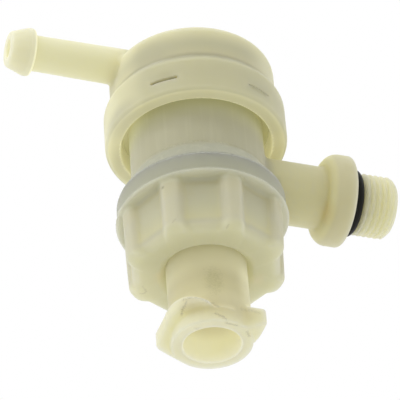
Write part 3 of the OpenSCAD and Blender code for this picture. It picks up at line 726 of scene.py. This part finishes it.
body = moulded("tube_and_stub", valve_body, [
    [(-13.6, -9.0, 0.3), (-9.0, 9.0, 0.3), (9.0, 23.0, 0.28), (23.0, 31.1, 0.15)],
    [(-13.6, -8.0, 0.3), (-8.0, 8.0, 0.23), (8.0, 13.7, 0.3)],
    [(18.8, 23.2, 0.3), (23.2, 39.2, 0.25), (39.2, 45.5, 0.27)],
])
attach(body, "housing")
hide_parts("valve_body")
# Painted shade: a dark line along the gap under the cap's window, laid on the body here and on the cap below
near_lines(body, "slit_shade", [[(-9.7, -8.9, 40.15), (-6.9, -11.1, 40.15)]], 0.6)
near_lines(body, "scuff", [
    [(-10.23, -0.57, 37.6), (-10.1, -1.8, 36.4)],
    [(-7.8, -6.9, 30.2), (-5.6, -8.8, 30.2), (-2.2, -10.2, 30.2), (1.8, -10.3, 30.2)],
], 0.7)
body_plastic, tree, shader = natural_plastic("body_plastic", (0.75, 0.70, 0.42), (0.73, 0.69, 0.42), (0.68, 0.64, 0.38), 0.06)
# Painted shade: the tube is darker than the stub, which keeps the plain colour from x 11.8 out
lay_over(tree, shader, band_along(tree, 0, 11.0, 9.0), (0.55, 0.53, 0.37))
lay_over(tree, shader, band_along(tree, 2, 30.6, 28.8), (0.455, 0.457, 0.345))
lay_over(tree, shader, band_along(tree, 0, 10.8, 11.8), (0.74, 0.695, 0.42))
spot = tree.nodes.new("ShaderNodeTexCoord")
drawn = tree.nodes.new("ShaderNodeMapping")
drawn.inputs["Scale"].default_value = (1.0, 1.0, 0.07)
streaks = tree.nodes.new("ShaderNodeTexNoise")
streaks.inputs["Scale"].default_value = 1100.0
streaks.inputs["Detail"].default_value = 3.0
pale_streaks = tree.nodes.new("ShaderNodeMapRange")
pale_streaks.inputs["From Min"].default_value = 0.5
pale_streaks.inputs["From Max"].default_value = 0.75
pale_streaks.inputs["To Max"].default_value = 0.25
tree.links.new(spot.outputs["Object"], drawn.inputs["Vector"])
tree.links.new(drawn.outputs["Vector"], streaks.inputs["Vector"])
tree.links.new(streaks.outputs["Fac"], pale_streaks.inputs["Value"])
lay_over(tree, shader, pale_streaks.outputs["Result"], (0.68, 0.66, 0.50))
# Painted shade on the tube's top under the skirt and from the flange outward, painted light on the thread, and a
# yellower patch on the flange's inner face below the stub
lay_over(tree, shader, band_along(tree, 2, 39.0, 39.6), (0.60, 0.56, 0.36))
lay_over(tree, shader, band_along(tree, 0, 19.6, 20.4), (0.65, 0.61, 0.40))
lay_over(tree, shader, band_along(tree, 0, 24.4, 26.0), (0.80, 0.76, 0.48))
lay_over(tree, shader, patch(tree, (19.4, -2.5, 26.5), (1.6, 3.2, 3.2), 0.3, 0.7), (0.72, 0.62, 0.32))
lay_over(tree, shader, faded(tree, specked(tree, field_of(tree, "scuff"), 2600.0, 0.7), 0.3), (0.84, 0.83, 0.68))
lay_over(tree, shader, field_of(tree, "slit_shade"), (0.06, 0.05, 0.02))
lay_glow(tree, shader, band_along(tree, 2, 34.0, 37.5), (0.065, 0.07, 0.035))
lay_glow(tree, shader, patch(tree, (-10.3, 1.0, 38.5), (4.0, 7.5, 6.0), 0.0, 1.0), (0.09, 0.09, 0.06))
body.data.materials.append(body_plastic)


# Drain cap: a skirt with four snap windows, a round drum and a hose barb, all one moulding of the same plastic
# Its windows clip over the body's teeth, and two of them are no more than a thin cut, shown by a painted dark line of
# shade and a painted olive shade. The barb lies half sunk in the drum's top and points to -X.
def drain_cap(x, y, z):
    out = np.hypot(x, y)
    skirt = np.where(z < 41.0, turned(out, z, 13.94, 37.4, 44.9, 0.7), turned(out, z, 13.94, 37.4, 44.9, 1.8))
    drum = turned(out, z, 12.75, 41.0, 51.6, 1.5)
    cap = joined(skirt, drum, 0.8)
    wide = np.hypot(y, z - 51.4)
    pipe_r = 2.78 + 0.12 * np.clip(1 - (-x - 12.0) / 12.0, 0, 1)
    pipe = np.maximum(wide - pipe_r, np.maximum(x, -x - 26.0))
    pipe = np.minimum(pipe, np.sqrt(x**2 + y**2 + (z - 51.4) ** 2) - 2.9)
    cap = joined(cap, pipe, 0.6)
    cone = (wide - 3.7 + (-x - 26.7) * 0.36) * 0.94
    head = trimmed(trimmed(np.maximum(cone, wide - 3.7), -x - 29.5, 0.3), x + 25.7, 0.4)
    cap = joined(cap, head, 0.15)
    mouth = np.maximum((out - 11.5 - np.maximum(38.4 - z, 0) * 0.1) * 0.97, z - 46.0)
    room = mouth
    dome = turned(out, z, 9.5, 45.0, 49.2, 0.3)
    room = np.minimum(room, np.maximum(dome, -turned(out, z, 2.4, 45.9, 52.0)))
    room = np.minimum(room, turned(out, z, 1.2, 44.0, 51.6))
    room = np.minimum(room, np.maximum(np.maximum(wide - 1.5, x - 1.2), -x - 40.0))
    for angle in (-128.0, -63.6, 52.0, 116.4):
        a = math.radians(angle)
        u = x * math.cos(a) + y * math.sin(a)
        v = -x * math.sin(a) + y * math.cos(a)
        high = {-128.0: 40.4, -63.6: 40.0}.get(angle, 42.0)
        window = np.maximum(np.maximum(np.abs(v) - 2.15, np.abs(z - (40.0 + high) / 2) - (high - 40.0) / 2), 11.0 - u)
        room = np.minimum(room, window)
    return trimmed(cap, -room, 0.15)


cap = moulded("cap_and_barb", drain_cap, [
    [(-29.9, -25.0, 0.16), (-25.0, -14.3, 0.25), (-14.3, 14.4, 0.24)],
    [(-14.4, 14.5, 0.24)],
    [(36.9, 38.5, 0.16), (38.5, 45.0, 0.25), (45.0, 47.4, 0.3), (47.4, 55.9, 0.22)],
])
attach(cap, "housing")
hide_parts("drain_cap")
# Painted shade: the same dark line on the cap, and an olive shade where the other window's recess would show
near_lines(cap, "slit_shade", [[(-9.7, -8.9, 40.15), (-6.9, -11.1, 40.15)]], 0.6)
near_lines(cap, "window_recess_shade", [[(4.8, -13.1, 39.75), (5.9, -12.62, 39.75), (7.1, -12.0, 39.75)]], 0.6)
cap_plastic, tree, shader = natural_plastic("cap_plastic", (0.66, 0.63, 0.41), (0.62, 0.60, 0.40), (0.60, 0.56, 0.36), 0.03, 0.004)
# Painted light and shade on the one plastic: a lighter drum top, a darker step between skirt and drum, a darker left
# and lighter right side of the drum, and a lighter barb with a slightly less light head
lay_over(tree, shader, band_along(tree, 2, 47.5, 50.5), (0.76, 0.73, 0.49))
lay_over(tree, shader, patch(tree, (0.0, 0.0, 44.6), (60.0, 60.0, 1.5), 0.0, 0.95), (0.44, 0.42, 0.27))
lay_over(tree, shader, patch(tree, (-10.0, -9.0, 46.4), (6.0, 5.0, 5.0), 0.0, 0.7), (0.57, 0.55, 0.37))
lay_over(tree, shader, patch(tree, (10.5, -8.0, 47.0), (7.0, 8.0, 7.0), 0.0, 0.8), (0.82, 0.79, 0.52))
lay_over(tree, shader, band_along(tree, 0, -12.5, -15.0), (0.77, 0.75, 0.51))
lay_over(tree, shader, band_along(tree, 0, -25.0, -26.0), (0.72, 0.70, 0.51))
lay_over(tree, shader, faded(tree, field_of(tree, "window_recess_shade"), 0.8), (0.54, 0.51, 0.24))
# Painted shade: a darker patch round the first window and a darker patch at the skirt's left lower edge
lay_over(tree, shader, patch(tree, (-8.5, -11.0, 41.0), (2.6, 2.6, 1.5), 0.2, 0.5), (0.57, 0.54, 0.32))
lay_over(tree, shader, field_of(tree, "slit_shade"), (0.06, 0.05, 0.02))
lay_over(tree, shader, patch(tree, (-13.4, -3.6, 37.8), (3.0, 7.0, 3.4), 0.0, 0.8), (0.47, 0.455, 0.32))
# Painted light: glows along the barb, on the skirt's lower rim, by the skirt's right front, in the barb's mouth and on
# the inner walls
lay_glow(tree, shader, band_along(tree, 0, -10.5, -13.0), (0.12, 0.115, 0.075))
lay_glow(tree, shader, band_along(tree, 2, 37.56, 37.42), (0.115, 0.11, 0.075))
lay_glow(tree, shader, patch(tree, (11.8, -3.5, 37.4), (3.0, 5.0, 2.5), 0.0, 1.0), (0.05, 0.045, 0.03))
lay_glow(tree, shader, patch(tree, (-29.5, 0.0, 51.4), (4.0, 1.9, 1.9), 0.0, 1.0), (0.25, 0.24, 0.14))
lay_glow(tree, shader, field_of(tree, "inward"), (0.20, 0.19, 0.12))
cap.data.materials.append(cap_plastic)


# Rubber seals: the stub's O-ring and the cap's ring are black nitrile, the flat seal, the poppet's disc and the
# drain pad are grey rubber cut from sheet, and the diaphragm is moulded red silicone
rubber_bloom = bpy.data.node_groups.new("rubber_bloom", "ShaderNodeTree")
for label in ("Scale", "Amount"):
    rubber_bloom.interface.new_socket(label, in_out="INPUT", socket_type="NodeSocketFloat")
for label in ("Bloom", "Grain"):
    rubber_bloom.interface.new_socket(label, in_out="OUTPUT", socket_type="NodeSocketFloat")
put = rubber_bloom.nodes.new
wire = rubber_bloom.links.new
given = put("NodeGroupInput")
result = put("NodeGroupOutput")
where = put("ShaderNodeTexCoord")
haze = put("ShaderNodeTexNoise")
haze.inputs["Detail"].default_value = 4.0
grit = put("ShaderNodeTexNoise")
grit.inputs["Scale"].default_value = 5000.0
thin_haze = put("ShaderNodeMapRange")
thin_haze.inputs["From Min"].default_value = 0.45
thin_haze.inputs["From Max"].default_value = 0.8
share = put("ShaderNodeMath")
share.operation = "MULTIPLY"
wire(where.outputs["Object"], haze.inputs["Vector"])
wire(given.outputs["Scale"], haze.inputs["Scale"])
wire(where.outputs["Object"], grit.inputs["Vector"])
wire(haze.outputs["Fac"], thin_haze.inputs["Value"])
wire(thin_haze.outputs["Result"], share.inputs[0])
wire(given.outputs["Amount"], share.inputs[1])
wire(share.outputs[0], result.inputs["Bloom"])
wire(grit.outputs["Fac"], result.inputs["Grain"])


def rubber(name, color, dusty, scale, amount, smooth, rough, gloss):
    material = bpy.data.materials.new(name)
    material.use_nodes = True
    tree = material.node_tree
    shader = tree.nodes["Principled BSDF"]
    bloom = tree.nodes.new("ShaderNodeGroup")
    bloom.node_tree = rubber_bloom
    bloom.inputs["Scale"].default_value = scale
    bloom.inputs["Amount"].default_value = amount
    tone = tree.nodes.new("ShaderNodeMix")
    tone.data_type = "RGBA"
    tone.inputs["A"].default_value = (*color, 1.0)
    tone.inputs["B"].default_value = (*dusty, 1.0)
    sheen = tree.nodes.new("ShaderNodeMapRange")
    sheen.inputs["To Min"].default_value = smooth
    sheen.inputs["To Max"].default_value = rough
    relief = tree.nodes.new("ShaderNodeBump")
    relief.inputs["Strength"].default_value = 0.2
    relief.inputs["Distance"].default_value = 0.00005
    tree.links.new(bloom.outputs["Bloom"], tone.inputs["Factor"])
    tree.links.new(tone.outputs["Result"], shader.inputs["Base Color"])
    tree.links.new(bloom.outputs["Bloom"], sheen.inputs["Value"])
    tree.links.new(sheen.outputs["Result"], shader.inputs["Roughness"])
    tree.links.new(bloom.outputs["Grain"], relief.inputs["Height"])
    tree.links.new(relief.outputs["Normal"], shader.inputs["Normal"])
    shader.inputs["IOR"].default_value = 1.5
    shader.inputs["Specular IOR Level"].default_value = gloss
    return material


black_rubber = rubber("black_rubber", (0.009, 0.009, 0.007), (0.022, 0.022, 0.018), 300.0, 0.6, 0.45, 0.7, 0.12)
grey_rubber = rubber("grey_rubber", (0.16, 0.16, 0.155), (0.26, 0.26, 0.25), 500.0, 0.7, 0.65, 0.85, 0.3)
red_silicone = rubber("red_silicone", (0.42, 0.09, 0.055), (0.52, 0.20, 0.15), 350.0, 0.5, 0.5, 0.7, 0.4)
for node, finish in (("stub_seal_ring", black_rubber), ("cap_seal_ring", black_rubber), ("face_seal", grey_rubber),
                     ("poppet_seal", grey_rubber), ("drain_pad", grey_rubber), ("diaphragm", red_silicone)):
    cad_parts[node].data.materials.clear()
    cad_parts[node].data.materials.append(finish)


# Check poppet and diaphragm plate: small white mouldings that slide inside the body
# The poppet's disc closes on the inlet's seat, and the plate lifts the pad to the drain seat.
white_plastic = bpy.data.materials.new("white_plastic")
white_plastic.use_nodes = True
tree = white_plastic.node_tree
shader = tree.nodes["Principled BSDF"]
place = tree.nodes.new("ShaderNodeTexCoord")
film = tree.nodes.new("ShaderNodeTexNoise")
film.inputs["Scale"].default_value = 450.0
film.inputs["Detail"].default_value = 3.0
tone = tree.nodes.new("ShaderNodeValToRGB")
tone.color_ramp.elements[0].position = 0.3
tone.color_ramp.elements[0].color = (0.74, 0.73, 0.69, 1.0)
tone.color_ramp.elements[1].position = 0.7
tone.color_ramp.elements[1].color = (0.83, 0.83, 0.80, 1.0)
skin = tree.nodes.new("ShaderNodeGroup")
skin.node_tree = mould_skin
skin.inputs["Wave"].default_value = 0.8
skin.inputs["Grain"].default_value = 0.2
relief = tree.nodes.new("ShaderNodeBump")
relief.inputs["Strength"].default_value = 0.2
relief.inputs["Distance"].default_value = 0.00008
tree.links.new(place.outputs["Object"], film.inputs["Vector"])
tree.links.new(film.outputs["Fac"], tone.inputs["Fac"])
tree.links.new(tone.outputs["Color"], shader.inputs["Base Color"])
tree.links.new(skin.outputs["Height"], relief.inputs["Height"])
tree.links.new(relief.outputs["Normal"], shader.inputs["Normal"])
shader.inputs["Roughness"].default_value = 0.45
for node in ("check_poppet", "diaphragm_plate"):
    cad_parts[node].data.materials.clear()
    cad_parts[node].data.materials.append(white_plastic)


# Springs: stainless wire, cold drawn and coiled, with the fine lines of the drawing die round the wire
# Each stands on what it presses. Here it is coiled between the bottom and the top of its part's box and fixed to the
# housing.
spring_wire = bpy.data.materials.new("spring_wire")
spring_wire.use_nodes = True
tree = spring_wire.node_tree
shader = tree.nodes["Principled BSDF"]
place = tree.nodes.new("ShaderNodeTexCoord")
lines = tree.nodes.new("ShaderNodeTexNoise")
lines.inputs["Scale"].default_value = 4000.0
lines.inputs["Detail"].default_value = 2.0
stain = tree.nodes.new("ShaderNodeTexNoise")
stain.inputs["Scale"].default_value = 350.0
bright = tree.nodes.new("ShaderNodeValToRGB")
bright.color_ramp.elements[0].color = (0.46, 0.45, 0.42, 1.0)
bright.color_ramp.elements[1].color = (0.66, 0.66, 0.65, 1.0)
dull = tree.nodes.new("ShaderNodeMapRange")
dull.inputs["To Min"].default_value = 0.22
dull.inputs["To Max"].default_value = 0.42
tree.links.new(place.outputs["Object"], lines.inputs["Vector"])
tree.links.new(place.outputs["Object"], stain.inputs["Vector"])
tree.links.new(stain.outputs["Fac"], bright.inputs["Fac"])
tree.links.new(bright.outputs["Color"], shader.inputs["Base Color"])
tree.links.new(lines.outputs["Fac"], dull.inputs["Value"])
tree.links.new(dull.outputs["Result"], shader.inputs["Roughness"])
shader.inputs["Metallic"].default_value = 1.0
for node, name, joint, middle_r, wire_r, turns, travel in (("check_spring", "check_coil", "check_lift", 3.3, 0.3, 8, 2.0),
                                                           ("drain_spring", "drain_coil", "drain_close", 4.2, 0.25, 4, 1.5)):
    low, high = (corner.z * 1000 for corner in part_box(node))
    rings = turns * 28 + 1
    sides = 12
    around = 2 * np.pi * np.arange(rings) / 28
    section = 2 * np.pi * np.arange(sides) / sides
    r = middle_r + wire_r * np.cos(section)[None, :]
    climb = np.linspace(low + wire_r, high - wire_r, rings)[:, None] + wire_r * np.sin(section)[None, :]
    coil = np.stack([r * np.cos(around)[:, None], r * np.sin(around)[:, None], climb], 2).reshape(-1, 3)
    walls = []
    for i in range(rings - 1):
        for j in range(sides):
            k = (j + 1) % sides
            walls.append((i * sides + j, (i + 1) * sides + j, (i + 1) * sides + k, i * sides + k))
    walls.append(tuple(range(sides)))
    walls.append(tuple(range(rings * sides - 1, (rings - 1) * sides - 1, -1)))
    data = bpy.data.meshes.new(name)
    data.from_pydata([tuple(v) for v in coil / 1000], [], walls)
    data.polygons.foreach_set("use_smooth", [len(f.vertices) == 4 for f in data.polygons])
    data.materials.append(spring_wire)
    spring = bpy.data.objects.new(name, data)
    bpy.context.scene.collection.objects.link(spring)
    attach(spring, "housing")
    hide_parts(node)
    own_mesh(spring)
